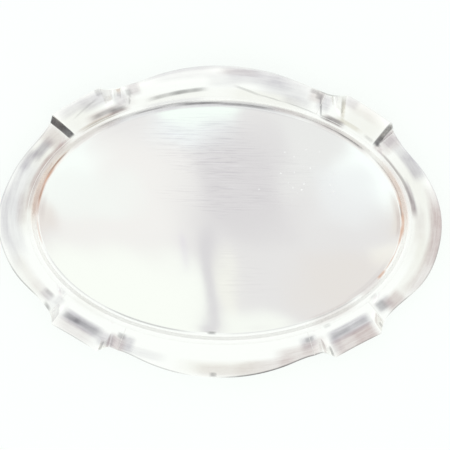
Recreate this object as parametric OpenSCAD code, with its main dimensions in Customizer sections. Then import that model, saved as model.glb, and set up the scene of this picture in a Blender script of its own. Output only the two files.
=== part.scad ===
// Oval salver: a flat oval well, a stepped collar, and a flared border of four
// lobes and four raised corner tabs, butt-soldered to each other and edged with wire.
//
// Frame: origin under the middle of the well, on the surface it stands on. +X runs
// along the length, -Y is the front, +Z is up. All sizes are in millimetres.
//
// The border is laid out round the well's edge. A place on it is given by the
// well's angle (0 at the right end, 90 at the back) and by how far outside the
// well's edge it lies. Every quarter of the salver is a mirror image of the first.

/* [Well] */
// Length of the flat well
well_length = 276; // [240:2:320]
// Width of the flat well
well_width = 175; // [160:1:200]
// Thickness of the sheet metal
sheet = 1.1; // [0.8:0.1:1.4]

/* [Step] */
// Width of the stepped collar round the well
step_width = 6.8; // [6:0.2:8]
// Height of the collar's outer edge above the table
step_height = 6; // [4:0.5:8]
// How far the collar's rounded shoulder stands above its outer edge
shoulder = 0.35; // [0.1:0.05:0.5]

/* [Border] */
// Reach of the end lobes beyond the well, at their middles
end_reach = 27; // [25:0.2:31]
// Reach of the side lobes beyond the well, at their middles
side_reach = 29.2; // [27:0.2:33]
// Reach of the corner tabs beyond the well
tab_reach = 28.8; // [27:0.2:33]
// Slope of the border where it leaves the collar, in degrees
border_slope = 20; // [14:1:26]
// How quickly the border curls upward, in millimetres for each millimetre squared
border_curl = 0.0145; // [0.008:0.0005:0.02]
// How far the reach of an end lobe falls off at 10 degrees from its middle
end_falloff = 0.66; // [0.4:0.02:0.8]
// How far the reach of a side lobe falls off at 10 degrees from its middle
side_falloff = 0.91; // [0.6:0.01:1]

/* [Corner tabs] */
// Well angle of a tab's ridge next to the end lobe
tab_end_angle = 39.6; // [37:0.2:41]
// Well angle of a tab's ridge next to the side lobe
tab_side_angle = 55.3; // [53:0.1:57]
// Width of the steep pleat beside each ridge, in degrees of well angle
pleat_width = 2.8; // [2:0.1:3.4]
// Height of the ridges above the plain border, at the edge
ridge_height = 1.4; // [0.6:0.1:2]
// Depth of the pleats' valleys below the plain border, at the edge
valley_depth = 5.2; // [3:0.1:6]
// Depth of the hollow along the middle of a tab, below its ridges
hollow_depth = 3.2; // [1:0.1:4]

/* [Joints] */
// Width of solder between two butted pieces
solder_gap = 0.3; // [0.2:0.05:0.4]
// Width of the half-round wire on the edge
wire_width = 0.9; // [0.6:0.1:1.2]

/* [Hidden] */

silver = [0.86, 0.85, 0.83];
worn_copper = [0.72, 0.45, 0.30];
solder_grey = [0.62, 0.59, 0.56];

well_a = well_length / 2;
well_b = well_width / 2;

// Where the flares of the two kinds of lobe begin, and how sharply they sweep out
end_flare_angle = 21;
side_flare_angle = 68;
flare_power = 3;
// How much flatter than a concentric curve a tab's edge is, at its middle
tab_flatness = 0.5;

// The pleats: an end-side valley, and a side-lobe valley with a low fold beyond it
end_joint = tab_end_angle - pleat_width;
side_valley = tab_side_angle + pleat_width;
side_joint = side_valley + pleat_width;
fold_height = 1;
end_valley_start = 26;
side_fold_end = 68;

// Half the angle taken by the solder in a radial joint, near 130 mm from the middle
joint_half_angle = solder_gap / 2 / 130 * 180 / PI;

// Steps of angle along each stretch of a quarter
end_lobe_steps = 9;
tab_steps = 6;
side_lobe_steps = 8;
// Steps across the border, and steps round the outside of the wire
border_steps = 8;
wire_steps = 4;

// Parts of the collar's width at which its upper and its under face are drawn, and
// the part where its shoulder is highest
collar_parts = [0, 0.1, 0.2, 0.35, 0.5, 0.65, 0.82, 0.91, 1];
collar_under_parts = [1, 0.82, 0.5, 0.2, 0];
crown_part = 0.82;

// How far the solder fillet round the well spreads inward, and how thick it is
fillet_spread = 0.9;
fillet_thickness = 0.2;

// ---- Curves ----

// Whole steps from one value to another, both ends included
function spread(from, to, steps) = [for (i = [0:steps]) from + (to - from) * i / steps];

// A value part of the way between two others
function between(low, high, part) = low + (high - low) * part;

// Smooth step from 0 to 1
function smooth(x) = let (c = min(max(x, 0), 1)) c * c * (3 - 2 * c);

// The same angle folded into the first quarter
function quarter(t) = let (turn = (t % 360 + 360) % 360, half = turn > 180 ? 360 - turn : turn)
  half > 90 ? 180 - half : half;

// Reach of an end lobe and of a side lobe, before their flares
function end_lobe(q) = end_reach - end_falloff * pow(q / 10, 2);
function side_lobe(q) = side_reach - side_falloff * pow((90 - q) / 10, 2);

// A lobe swept out to meet the tab at its ridge; part is 0 where the flare starts
function flared(lobe, lobe_at_ridge, part) =
  lobe + (tab_reach - lobe_at_ridge) * pow(max(part, 0), flare_power);

// Reach of a tab's nearly straight edge
function tab_edge(part) = tab_reach - tab_flatness * 4 * part * (1 - part);

// Distance from the well's edge to the salver's outline, at a well angle
function reach(t) = let (q = quarter(t))
  q <= tab_end_angle
    ? flared(end_lobe(q), end_lobe(tab_end_angle),
             (q - end_flare_angle) / (tab_end_angle - end_flare_angle))
  : q <= tab_side_angle
    ? tab_edge((q - tab_end_angle) / (tab_side_angle - tab_end_angle))
  : flared(side_lobe(q), side_lobe(tab_side_angle),
           (side_flare_angle - q) / (side_flare_angle - tab_side_angle));

// Height that the pleats and the tab add to the border's edge, at a well angle
function pleat(t) = let (q = quarter(t))
  q <= end_joint
    ? -valley_depth * pow(max(q - end_valley_start, 0) / (end_joint - end_valley_start), 2)
  : q <= tab_end_angle
    ? between(-valley_depth, ridge_height, (q - end_joint) / pleat_width)
  : q <= tab_side_angle
    ? let (across = 2 * (q - tab_end_angle) / (tab_side_angle - tab_end_angle) - 1)
      ridge_height - hollow_depth * (1 - across * across)
  : q <= side_valley
    ? between(ridge_height, -valley_depth, (q - tab_side_angle) / pleat_width)
  : q <= side_joint
    ? between(-valley_depth, fold_height, (q - side_valley) / pleat_width)
  : fold_height * (1 - smooth((q - side_joint) / (side_fold_end - side_joint)));

// Height of the plain border at a distance from the well's edge
function border_height(out) = let (run = out - step_width)
  step_height + tan(border_slope) * run + border_curl * run * run;

// Height of the collar's upper face at a distance from the well's edge
function collar_height(out) = let (across = out / step_width, top = step_height + shoulder)
  across <= crown_part
    ? between(sheet, top, smooth(across / crown_part))
    : between(top, step_height, smooth((across - crown_part) / (1 - crown_part)));

// ---- Places round the well ----

// Point at a well angle, a distance outside the well's edge and a height
function place(t, out, height) =
  let (slant = [cos(t) / well_a, sin(t) / well_b], outward = slant / norm(slant))
  [well_a * cos(t) + out * outward[0], well_b * sin(t) + out * outward[1], height];

// Distance out to a part of the way across the border, between the rim seam and the wire
function across_border(t, part) =
  between(step_width + solder_gap, reach(t) - wire_width, part);

// Upper face of the border at that part; the pleats grow quickly from the collar
function border_top(t, part) =
  border_height(across_border(t, part)) + pleat(t) * (1 - pow(1 - part, 2));

// Upper face of the border along a section, outward, and its under face back in
function upper_face(t) =
  [for (p = spread(0, 1, border_steps)) place(t, across_border(t, p), border_top(t, p))];
function under_face(t) =
  [for (p = spread(1, 0, border_steps)) place(t, across_border(t, p), border_top(t, p) - sheet)];

// Section through the border
function border_section(t) = concat(upper_face(t), under_face(t));

// Section through the edge wire: flat against the sheet's edge and half round outside
function wire_section(t) =
  [for (a = spread(0, 180, wire_steps))
    place(t, reach(t) - wire_width * (1 - sin(a)), border_top(t, 1) - sheet / 2 * (1 - cos(a)))];

// Section through a radial solder joint: the border's section with the wire's outside
function joint_section(t) = concat(
  upper_face(t),
  [for (i = [1:wire_steps - 1]) wire_section(t)[i]],
  under_face(t)
);

// Point on the collar's upper face, or that far below it, at a part of its width
function on_collar(t, part, below = 0) =
  place(t, part * step_width, collar_height(part * step_width) - below);

// Section through the collar
function collar_section(t) = concat(
  [for (part = collar_parts) on_collar(t, part)],
  [for (part = collar_under_parts) on_collar(t, part, sheet)]
);

// Section through the ring of solder between collar and border
function rim_seam_section(t) = [
  place(t, step_width, step_height),
  place(t, step_width + solder_gap, border_top(t, 0)),
  place(t, step_width + solder_gap, border_top(t, 0) - sheet),
  place(t, step_width, step_height - sheet)
];

// Section through the fillet between well and collar: it lies on the plate and
// follows the collar's first two facets
function well_seam_section(t) = [
  place(t, -fillet_spread, sheet),
  place(t, 0, sheet + fillet_thickness),
  on_collar(t, collar_parts[1], -fillet_thickness),
  on_collar(t, collar_parts[2]),
  on_collar(t, collar_parts[1]),
  place(t, 0, sheet)
];

// ---- Angles of the sections ----

// Sections of the first quarter, with one at each ridge, valley and joint face
quarter_angles = concat(
  spread(0, end_joint - joint_half_angle, end_lobe_steps),
  [end_joint + joint_half_angle],
  spread(tab_end_angle, tab_side_angle, tab_steps),
  [side_valley, side_joint - joint_half_angle],
  spread(side_joint + joint_half_angle, 90, side_lobe_steps)
);
last_angle = len(quarter_angles) - 1;

// The same angles all the way round, each one once
ring_angles = concat(
  [for (i = [0:last_angle]) quarter_angles[i]],
  [for (i = [last_angle - 1:-1:0]) 180 - quarter_angles[i]],
  [for (i = [1:last_angle]) 180 + quarter_angles[i]],
  [for (i = [last_angle - 1:-1:1]) 360 - quarter_angles[i]]
);

// Angles of one border piece
end_lobe_angles = [for (t = ring_angles) let (s = t > 180 ? t - 360 : t)
  if (abs(s) < end_joint) s];
corner_angles = [for (t = quarter_angles) if (t > end_joint && t < side_joint) t];
side_lobe_angles = [for (t = ring_angles) if (t > side_joint && t < 180 - side_joint) t];

// The same numbers in rising order
function rising(v) = len(v) <= 1 ? v :
  let (pivot = v[floor(len(v) / 2)])
  concat(rising([for (x = v) if (x < pivot) x]), [pivot], rising([for (x = v) if (x > pivot) x]));

// ---- Shapes ----

// Solid through a row of sections; a closed row is a ring. An open one has flat ends,
// each a ladder of faces from one side of the section to the other.
module swept(sections, closed = false) {
  count = len(sections);
  size = len(sections[0]);
  spans = closed ? count : count - 1;
  last = (count - 1) * size;
  rungs = ceil(size / 2) - 2;
  walls = [
    for (i = [0:spans - 1]) for (j = [0:size - 1])
      let (
        a = i * size + j,
        b = i * size + (j + 1) % size,
        c = ((i + 1) % count) * size + (j + 1) % size,
        d = ((i + 1) % count) * size + j
      )
      each [[a, b, c], [a, c, d]]
  ];
  first_end = [
    for (j = [0:rungs]) let (a = j, b = j + 1, c = size - 2 - j, d = size - 1 - j)
      each b == c ? [[d, b, a]] : [[c, b, a], [d, c, a]]
  ];
  last_end = [for (face = first_end) [last + face[2], last + face[1], last + face[0]]];
  ends = closed ? [] : concat(first_end, last_end);
  polyhedron(points = [for (s = sections) each s], faces = concat(walls, ends));
}

// Copies of a first-quarter shape put in the corner on the given sides
module in_corner(left, front) {
  mirror([left ? 1 : 0, 0, 0]) mirror([0, front ? 1 : 0, 0]) children();
}

module end_lobe_border() {
  swept([for (t = rising(end_lobe_angles)) border_section(t)]);
}

module side_lobe_border() {
  swept([for (t = side_lobe_angles) border_section(t)]);
}

module corner_border() {
  swept([for (t = corner_angles) border_section(t)]);
}

module end_lobe_wire() {
  swept([for (t = rising(end_lobe_angles)) wire_section(t)]);
}

module side_lobe_wire() {
  swept([for (t = side_lobe_angles) wire_section(t)]);
}

module corner_wire() {
  swept([for (t = corner_angles) wire_section(t)]);
}

// The two radial joints of one corner piece
module corner_joints() {
  for (joint = [end_joint, side_joint])
    swept([joint_section(joint - joint_half_angle), joint_section(joint + joint_half_angle)]);
}

// ---- Pieces ----

// Flat sheet that the salver stands on
module well_plate() {
  color(silver)
    linear_extrude(sheet)
      polygon([for (t = ring_angles) [well_a * cos(t), well_b * sin(t)]]);
}

module well_seam_solder() {
  color(worn_copper) swept([for (t = ring_angles) well_seam_section(t)], closed = true);
}

module step_collar() {
  color(silver) swept([for (t = ring_angles) collar_section(t)], closed = true);
}

module rim_seam_solder() {
  color(solder_grey) swept([for (t = ring_angles) rim_seam_section(t)], closed = true);
}

module joint_solder_front_left() { color(solder_grey) in_corner(true, true) corner_joints(); }
module joint_solder_front_right() { color(solder_grey) in_corner(false, true) corner_joints(); }
module joint_solder_back_left() { color(solder_grey) in_corner(true, false) corner_joints(); }
module joint_solder_back_right() { color(solder_grey) in_corner(false, false) corner_joints(); }

module border_front() { color(silver) in_corner(false, true) side_lobe_border(); }
module border_back() { color(silver) side_lobe_border(); }
module border_left() { color(silver) in_corner(true, false) end_lobe_border(); }
module border_right() { color(silver) end_lobe_border(); }

module corner_front_left() { color(silver) in_corner(true, true) corner_border(); }
module corner_front_right() { color(silver) in_corner(false, true) corner_border(); }
module corner_back_left() { color(silver) in_corner(true, false) corner_border(); }
module corner_back_right() { color(silver) in_corner(false, false) corner_border(); }

module wire_front() { color(silver) in_corner(false, true) side_lobe_wire(); }
module wire_back() { color(silver) side_lobe_wire(); }
module wire_left() { color(silver) in_corner(true, false) end_lobe_wire(); }
module wire_right() { color(silver) end_lobe_wire(); }

module wire_front_left() { color(silver) in_corner(true, true) corner_wire(); }
module wire_front_right() { color(silver) in_corner(false, true) corner_wire(); }
module wire_back_left() { color(silver) in_corner(true, false) corner_wire(); }
module wire_back_right() { color(silver) in_corner(false, false) corner_wire(); }

well_plate();
well_seam_solder();
step_collar();
rim_seam_solder();
border_front();
border_back();
border_left();
border_right();
corner_front_left();
corner_front_right();
corner_back_left();
corner_back_right();
joint_solder_front_left();
joint_solder_front_right();
joint_solder_back_left();
joint_solder_back_right();
wire_front();
wire_back();
wire_left();
wire_right();
wire_front_left();
wire_front_right();
wire_back_left();
wire_back_right();
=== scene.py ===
"""An oval silver salver: flat well, stepped collar and a flared, pleated border edged with wire.

Every piece is a finely divided mesh that stands for one node of the CAD frame, laid out with the
same formulas. All sizes in the classes are millimetres; the meshes are in metres.
"""

import logging
import math
from collections.abc import Sequence
from dataclasses import dataclass, field
from enum import Enum

import bpy
import numpy as np
from mathutils import Matrix, Vector


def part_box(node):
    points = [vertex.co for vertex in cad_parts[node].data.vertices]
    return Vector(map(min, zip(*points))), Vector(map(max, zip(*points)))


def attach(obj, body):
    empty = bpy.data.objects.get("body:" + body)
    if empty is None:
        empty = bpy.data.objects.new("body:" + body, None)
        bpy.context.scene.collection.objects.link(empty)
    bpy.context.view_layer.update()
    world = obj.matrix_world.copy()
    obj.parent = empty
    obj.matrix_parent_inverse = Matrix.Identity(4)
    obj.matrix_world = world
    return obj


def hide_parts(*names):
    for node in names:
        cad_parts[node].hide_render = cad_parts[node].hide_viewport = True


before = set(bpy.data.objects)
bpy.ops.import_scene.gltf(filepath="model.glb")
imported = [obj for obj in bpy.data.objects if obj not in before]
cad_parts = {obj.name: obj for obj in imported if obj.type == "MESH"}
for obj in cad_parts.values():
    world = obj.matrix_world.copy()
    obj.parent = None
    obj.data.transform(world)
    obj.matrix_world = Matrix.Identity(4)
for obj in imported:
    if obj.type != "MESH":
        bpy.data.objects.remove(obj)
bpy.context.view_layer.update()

log = logging.getLogger("salver")
MM = 0.001
# Sockets of Blender's Mix node when it mixes colours: their names are shared with other kinds.
SHARE, UNDER, OVER, MIXED = 0, 6, 7, 2
# Arrays of a solid's closed sections: points, well angles and distances out.
Sections = tuple[np.ndarray, np.ndarray, np.ndarray]


# ---- Small tools ----


def linear(hex_colour: str) -> tuple[float, float, float, float]:
    """Turn an sRGB hex colour into Blender's linear colour.

    Args:
        hex_colour: Six hex digits, such as "EDEAE4".

    Returns:
        Red, green, blue and an alpha of 1, all linear.
    """
    parts = (int(hex_colour[i : i + 2], 16) / 255 for i in (0, 2, 4))
    red, green, blue = (c / 12.92 if c <= 0.04045 else ((c + 0.055) / 1.055) ** 2.4 for c in parts)
    return red, green, blue, 1.0


def lit(hex_colour: str, light: float) -> tuple[float, ...]:
    """Linear colour of light that is brighter or darker than its hex colour."""
    return (*(light * c for c in linear(hex_colour)[:3]), 1.0)


def add_node(
    tree: bpy.types.NodeTree,
    kind: str,
    inputs: dict | None = None,
    output: int | str = 0,
    **settings: object,
) -> bpy.types.NodeSocket | None:
    """Add one node to a tree.

    Args:
        tree: The material's or the world's node tree.
        kind: The node's type name.
        inputs: Values, or output sockets to link, by the input's name or number.
        output: Name or number of the output that is wanted.
        **settings: Properties set on the node itself.

    Returns:
        The wanted output, or None from the node that ends a tree.
    """
    made = tree.nodes.new(kind)
    for name, value in settings.items():
        setattr(made, name, value)
    for key, value in (inputs or {}).items():
        if isinstance(value, bpy.types.NodeSocket):
            tree.links.new(value, made.inputs[key])
        else:
            made.inputs[key].default_value = value
    return made.outputs[output] if made.outputs else None


def emptied_tree(owner: bpy.types.Material | bpy.types.World) -> bpy.types.NodeTree:
    """Give a material or a world an empty node tree.

    Args:
        owner: The material or world.

    Returns:
        Its tree.
    """
    owner.use_nodes = True
    owner.node_tree.nodes.clear()
    return owner.node_tree


def start_material(
    name: str,
) -> tuple[bpy.types.Material, bpy.types.NodeTree, bpy.types.NodeSocket]:
    """Start a material.

    Args:
        name: The material's name.

    Returns:
        The material, its tree, and the place in metres that its patterns are laid out by.
    """
    made = bpy.data.materials.new(name)
    tree = emptied_tree(made)
    return made, tree, add_node(tree, "ShaderNodeTexCoord", output="Object")


def end_metal(
    tree: bpy.types.NodeTree,
    shade: bpy.types.NodeSocket,
    rough: bpy.types.NodeSocket,
    relief: bpy.types.NodeSocket,
) -> None:
    """End a metal's material.

    Args:
        tree: The material's tree.
        shade: The metal's colour.
        rough: Its roughness.
        relief: Its normal.
    """
    metal = add_node(
        tree,
        "ShaderNodeBsdfPrincipled",
        {"Base Color": shade, "Metallic": 1.0, "Roughness": rough, "Normal": relief},
    )
    add_node(tree, "ShaderNodeOutputMaterial", {"Surface": metal})


def smooth(x: np.ndarray) -> np.ndarray:
    """Smooth step from 0 to 1."""
    c = np.clip(x, 0.0, 1.0)
    return c * c * (3.0 - 2.0 * c)


def apart(t: np.ndarray, middle: float) -> np.ndarray:
    """Degrees from one well angle round to others, from -180 to 180."""
    return np.mod(t - middle + 180.0, 360.0) - 180.0


# ---- Form ----


class Side(Enum):
    """The four lobes, with the well angle of each one's middle."""

    RIGHT = 0.0
    BACK = 90.0
    LEFT = 180.0
    FRONT = 270.0


class Corner(Enum):
    """The four corner tabs: whether each is on the left, and whether it is in front."""

    BACK_RIGHT = (False, False)
    BACK_LEFT = (True, False)
    FRONT_LEFT = (True, True)
    FRONT_RIGHT = (False, True)


@dataclass(frozen=True)
class SalverForm:
    """The salver's surface, laid out round the edge of its oval well.

    A place has a well angle in degrees, 0 at the right end and 90 at the back, and a distance
    outside the well's edge. Every quarter mirrors the first, apart from what hand work moved.
    """

    well_a: float = 138.0
    well_b: float = 87.5
    sheet: float = 1.1
    step_width: float = 6.8
    step_height: float = 6.0
    shoulder: float = 0.35
    crown_part: float = 0.82
    end_reach: float = 27.0
    side_reach: float = 29.2
    tab_reach: float = 28.8
    border_slope: float = 20.0
    border_curl: float = 0.0145
    end_falloff: float = 0.66
    side_falloff: float = 0.91
    end_flare_angle: float = 21.0
    side_flare_angle: float = 68.0
    tab_end_angle: float = 39.6
    tab_side_angle: float = 55.3
    tab_flatness: float = 0.5
    pleat_width: float = 2.8
    ridge_height: float = 1.4
    valley_depth: float = 5.2
    hollow_depth: float = 3.2
    fold_height: float = 1.0
    end_valley_start: float = 26.0
    side_fold_end: float = 68.0
    solder_gap: float = 0.3
    joint_radius: float = 130.0  # about how far the radial joints are from the middle
    wire_width: float = 0.9
    fold_rounding: float = 0.3  # degrees; the sheet turns over each fold in about a millimetre
    fold_samples: int = 9
    fold_taper: float = 0.9
    # Well angle, degrees to each side and millimetres outward of each drift of the outline.
    drifts: tuple[tuple[float, float, float], ...] = (
        (341.0, 15.4, 1.1),
        (167.0, 17.6, -1.8),
        (118.0, 6.6, 0.9),
        (64.0, 7.7, 0.8),
        (203.0, 13.2, 0.7),
    )
    # Degrees that the folds lean by at the collar, for each quarter from the back right one.
    end_leans: tuple[float, ...] = (0.2, 1.0, 0.0, 0.0)
    side_leans: tuple[float, ...] = (-3.6, -1.6, -1.2, -0.6)
    lean_swap: float = 43.0
    lean_end: float = 74.0
    lean_blend: float = 8.0
    coarse_step: float = 0.5
    fine_step: float = 0.1
    fold_room: float = 1.5
    joint_room: float = 1.0

    @property
    def end_joint(self) -> float:
        """Well angle of the joint between a tab and an end lobe."""
        return self.tab_end_angle - self.pleat_width

    @property
    def side_joint(self) -> float:
        """Well angle of the joint between a tab and a side lobe."""
        return self.tab_side_angle + 2 * self.pleat_width

    @property
    def joint_half_angle(self) -> float:
        """Half the angle taken by the solder in a radial joint."""
        return math.degrees(self.solder_gap / 2 / self.joint_radius)

    @staticmethod
    def quarter(t: np.ndarray) -> np.ndarray:
        """Fold angles into the first quarter.

        Args:
            t: Well angles in degrees.

        Returns:
            Angles from 0 to 90.
        """
        turn = np.mod(t, 360.0)
        half = np.where(turn > 180.0, 360.0 - turn, turn)
        return np.where(half > 90.0, 180.0 - half, half)

    def _end_lobe(self, q: np.ndarray) -> np.ndarray:
        """Reach of an end lobe before its flare."""
        return self.end_reach - self.end_falloff * (q / 10) ** 2

    def _side_lobe(self, q: np.ndarray) -> np.ndarray:
        """Reach of a side lobe before its flare."""
        return self.side_reach - self.side_falloff * ((90 - q) / 10) ** 2

    def reach(self, t: np.ndarray) -> np.ndarray:
        """Distance from the well's edge to the outline.

        Args:
            t: Well angles in degrees.

        Returns:
            Millimetres, one for each angle.
        """
        q = self.quarter(t)
        ends, sides = self.tab_end_angle, self.tab_side_angle
        end_part = np.clip((q - self.end_flare_angle) / (ends - self.end_flare_angle), 0, None)
        side_part = np.clip((self.side_flare_angle - q) / (self.side_flare_angle - sides), 0, None)
        across = (q - ends) / (sides - ends)
        end_lobe = self._end_lobe(q) + (self.tab_reach - self._end_lobe(ends)) * end_part**3
        side_lobe = self._side_lobe(q) + (self.tab_reach - self._side_lobe(sides)) * side_part**3
        tab = self.tab_reach - self.tab_flatness * 4 * across * (1 - across)
        return np.where(q <= ends, end_lobe, np.where(q <= sides, tab, side_lobe)) + self.drift(t)

    def drift(self, t: np.ndarray) -> np.ndarray:
        """How far hand work moved the outline.

        Args:
            t: Well angles in degrees.

        Returns:
            Millimetres outward, one for each angle.
        """
        total = np.zeros_like(t, dtype=float)
        for middle, spread, amount in self.drifts:
            total += amount * (1.0 - smooth(np.abs(apart(t, middle)) / spread))
        return total

    def _sharp_pleat(self, q: np.ndarray) -> np.ndarray:
        """Height of the pleats at the edge as if every fold were sharp.

        Args:
            q: Angles in the first quarter.

        Returns:
            Millimetres above the plain border.
        """
        ends, sides, width = self.tab_end_angle, self.tab_side_angle, self.pleat_width
        valley, start, depth = sides + width, self.end_valley_start, self.valley_depth
        rise = self.ridge_height + depth
        across = 2 * (q - ends) / (sides - ends) - 1
        fold_part = (q - self.side_joint) / (self.side_fold_end - self.side_joint)
        return np.select(
            [q <= self.end_joint, q <= ends, q <= sides, q <= valley, q <= self.side_joint],
            [
                -depth * (np.clip(q - start, 0, None) / (self.end_joint - start)) ** 2,
                -depth + rise * (q - self.end_joint) / width,
                self.ridge_height - self.hollow_depth * (1 - across**2),
                self.ridge_height - rise * (q - sides) / width,
                -depth + (self.fold_height + depth) * (q - valley) / width,
            ],
            self.fold_height * (1 - smooth(fold_part)),
        )

    def fold_lean(self, t: np.ndarray, part: np.ndarray) -> np.ndarray:
        """How far hand work turned the folds, more and more towards the collar.

        Args:
            t: Well angles in degrees.
            part: Parts of the way across the border.

        Returns:
            Degrees.
        """
        q, blend = self.quarter(t), self.lean_blend
        corner = (np.mod(t, 360.0) // 90).astype(int) % 4
        at_side = smooth((q - self.lean_swap) / blend)
        near_tab = smooth((q - self.end_valley_start) / blend) * smooth((self.lean_end - q) / blend)
        end_lean, side_lean = np.array(self.end_leans)[corner], np.array(self.side_leans)[corner]
        return (end_lean * (1 - at_side) + side_lean * at_side) * near_tab * (1 - part)

    def pleat(self, t: np.ndarray, part: np.ndarray) -> np.ndarray:
        """Height that pleats and tabs add at the border's edge, with the folds rounded.

        Args:
            t: Well angles in degrees.
            part: Parts of the way across the border.

        Returns:
            Millimetres above the plain border.
        """
        offsets = np.linspace(-1, 1, self.fold_samples)
        weights = 1 - self.fold_taper * offsets**2
        q = self.quarter(t) - self.fold_lean(t, part)
        heights = [
            w * self._sharp_pleat(np.clip(q + o * self.fold_rounding, 0, 90))
            for o, w in zip(offsets, weights)
        ]
        return np.sum(heights, axis=0) / weights.sum()

    def collar_height(self, out: np.ndarray) -> np.ndarray:
        """Height of the collar's upper face.

        Args:
            out: Distances outside the well's edge.

        Returns:
            Millimetres above the table.
        """
        across, top = out / self.step_width, self.step_height + self.shoulder
        rise = self.sheet + (top - self.sheet) * smooth(across / self.crown_part)
        fall = top - self.shoulder * smooth((across - self.crown_part) / (1 - self.crown_part))
        return np.where(across <= self.crown_part, rise, fall)

    def border_out(self, t: np.ndarray, part: np.ndarray) -> np.ndarray:
        """Distance out to a part of the way from the rim seam to the wire."""
        inner = self.step_width + self.solder_gap
        return inner + (self.reach(t) - self.wire_width - inner) * part

    def border_height(self, t: np.ndarray, part: np.ndarray) -> np.ndarray:
        """Height of the border's upper face.

        Args:
            t: Well angles in degrees.
            part: Parts of the way across the border.

        Returns:
            Millimetres above the table.
        """
        run = self.border_out(t, part) - self.step_width
        slope = math.tan(math.radians(self.border_slope))
        plain = self.step_height + slope * run + self.border_curl * run**2
        return plain + self.pleat(t, part) * (1 - (1 - part) ** 2)

    def place(self, t: np.ndarray, out: np.ndarray, height: np.ndarray) -> np.ndarray:
        """Points of the surface.

        Args:
            t: Well angles in degrees.
            out: Distances outside the well's edge.
            height: Heights above the table.

        Returns:
            An array of X, Y, Z in millimetres, with the arguments' shape before it.
        """
        turn = np.radians(t)
        slant = np.stack([np.cos(turn) / self.well_a, np.sin(turn) / self.well_b], -1)
        slant /= np.linalg.norm(slant, axis=-1, keepdims=True)
        x = self.well_a * np.cos(turn) + out * slant[..., 0]
        y = self.well_b * np.sin(turn) + out * slant[..., 1]
        return np.stack(np.broadcast_arrays(x, y, height), -1)

    def sections(self, t: np.ndarray, out: np.ndarray, height: np.ndarray) -> Sections:
        """Closed sections of a solid, with one well angle for each and places round it."""
        turn, out, height = np.broadcast_arrays(t, out, height)
        return self.place(turn, out, height), turn, out

    def angles(self, first: float, last: float) -> np.ndarray:
        """Well angles between two others, close together where the pleats are.

        Args:
            first: The lower angle.
            last: The higher angle.

        Returns:
            The angles, with both ends among them.
        """
        coarse = np.arange(first, last, self.coarse_step)
        fine = np.arange(first, last, self.fine_step)
        q, room = self.quarter(fine), self.fold_room
        near = (q > self.end_joint - room) & (q < self.side_joint + self.joint_room)
        middle = (q > self.tab_end_angle + room) & (q < self.tab_side_angle - room)
        kept = fine[near & ~middle]
        return np.unique(np.round(np.concatenate([coarse, kept, [first, last]]), 4))


class Hand:
    """The slight unevenness that raising and planishing leave in hand-worked sheet."""

    def __init__(self, seed: int, wavelengths: Sequence[float], height: float) -> None:
        """Choose the waves.

        Args:
            seed: Fixes the waves' directions and phases.
            wavelengths: Lengths of the waves in millimetres.
            height: Height of each wave in millimetres.
        """
        rng = np.random.default_rng(seed)
        turns = rng.uniform(0, 2 * math.pi, len(wavelengths))
        sizes = 2 * math.pi / np.asarray(wavelengths, float)
        self._waves = np.stack([np.cos(turns) * sizes, np.sin(turns) * sizes], -1)
        self._phases = rng.uniform(0, 2 * math.pi, len(wavelengths))
        self._height = height

    def at(self, points: np.ndarray) -> np.ndarray:
        """Height of the unevenness at points, in millimetres."""
        turns = points[..., :2] @ self._waves.T + self._phases
        return self._height * np.sin(turns).sum(-1)


# ---- Wear, tarnish and painted light ----


class Stain(Enum):
    """What a mark is made of: wear, tarnish, painted reflection and painted shade; the value names
    the mesh's layer for it.
    """

    # Yellowish tarnish, also painted reflection: the cream tones that the lobes and tabs mirror.
    STRAW = "straw"
    # Cloudy grey tarnish, mostly painted reflection: the grey and bluish zones that the border
    # mirrors.
    BLOOM = "bloom"
    # Brownish wear over the copper, also painted reflection: brown bands beside the collar's crest
    # and pinkish-brown tones on the lobes.
    BRONZE = "bronze"
    COPPER = "copper"
    # Dark tarnish in folds, also painted shade in creases and along the rim's edge, and painted
    # dark reflections on steep pleat facets.
    GRIME = "grime"
    SCORED = "scored"
    SPECKS = "specks"


@dataclass(frozen=True)
class Mark:
    """One soft mark on the salver.

    Attributes:
        stain: What the mark is made of.
        angle: Well angle of its middle.
        out: Distance of its middle outside the well's edge, or inside the rim's edge.
        half_angle: Half its length, in degrees.
        half_out: Half its width, in millimetres.
        strength: How dense it is in its middle, up to 1.
        lean: Millimetres that it drifts outward for each degree.
        tilt: Degrees that it drifts onward for each millimetre outward.
        hard: Share of its size that is fully dense.
        from_rim: Whether its distance is measured inward from the rim's edge.
    """

    stain: Stain
    angle: float
    out: float
    half_angle: float
    half_out: float
    strength: float
    lean: float = 0.0
    tilt: float = 0.0
    hard: float = 0.35
    from_rim: bool = False

    def at(self, t: np.ndarray, out: np.ndarray, inside: np.ndarray) -> np.ndarray:
        """Density of the mark at places on the salver.

        Args:
            t: Well angles in degrees.
            out: Distances outside the well's edge.
            inside: Distances inside the rim's edge.

        Returns:
            Numbers from 0 to the mark's strength.
        """
        along = apart(t, self.angle)
        across = (inside if self.from_rim else out) - self.out
        along, across = along - self.tilt * across, across - self.lean * along
        along, across = np.abs(along) / self.half_angle, np.abs(across) / self.half_out
        # A power of 2 makes the mark an ellipse; the harder it is, the squarer it gets.
        power = 2 + 8 * self.hard
        away = (along**power + across**power) ** (1 / power)
        return self.strength * (1 - smooth((away - self.hard) / (1 - self.hard)))


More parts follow.
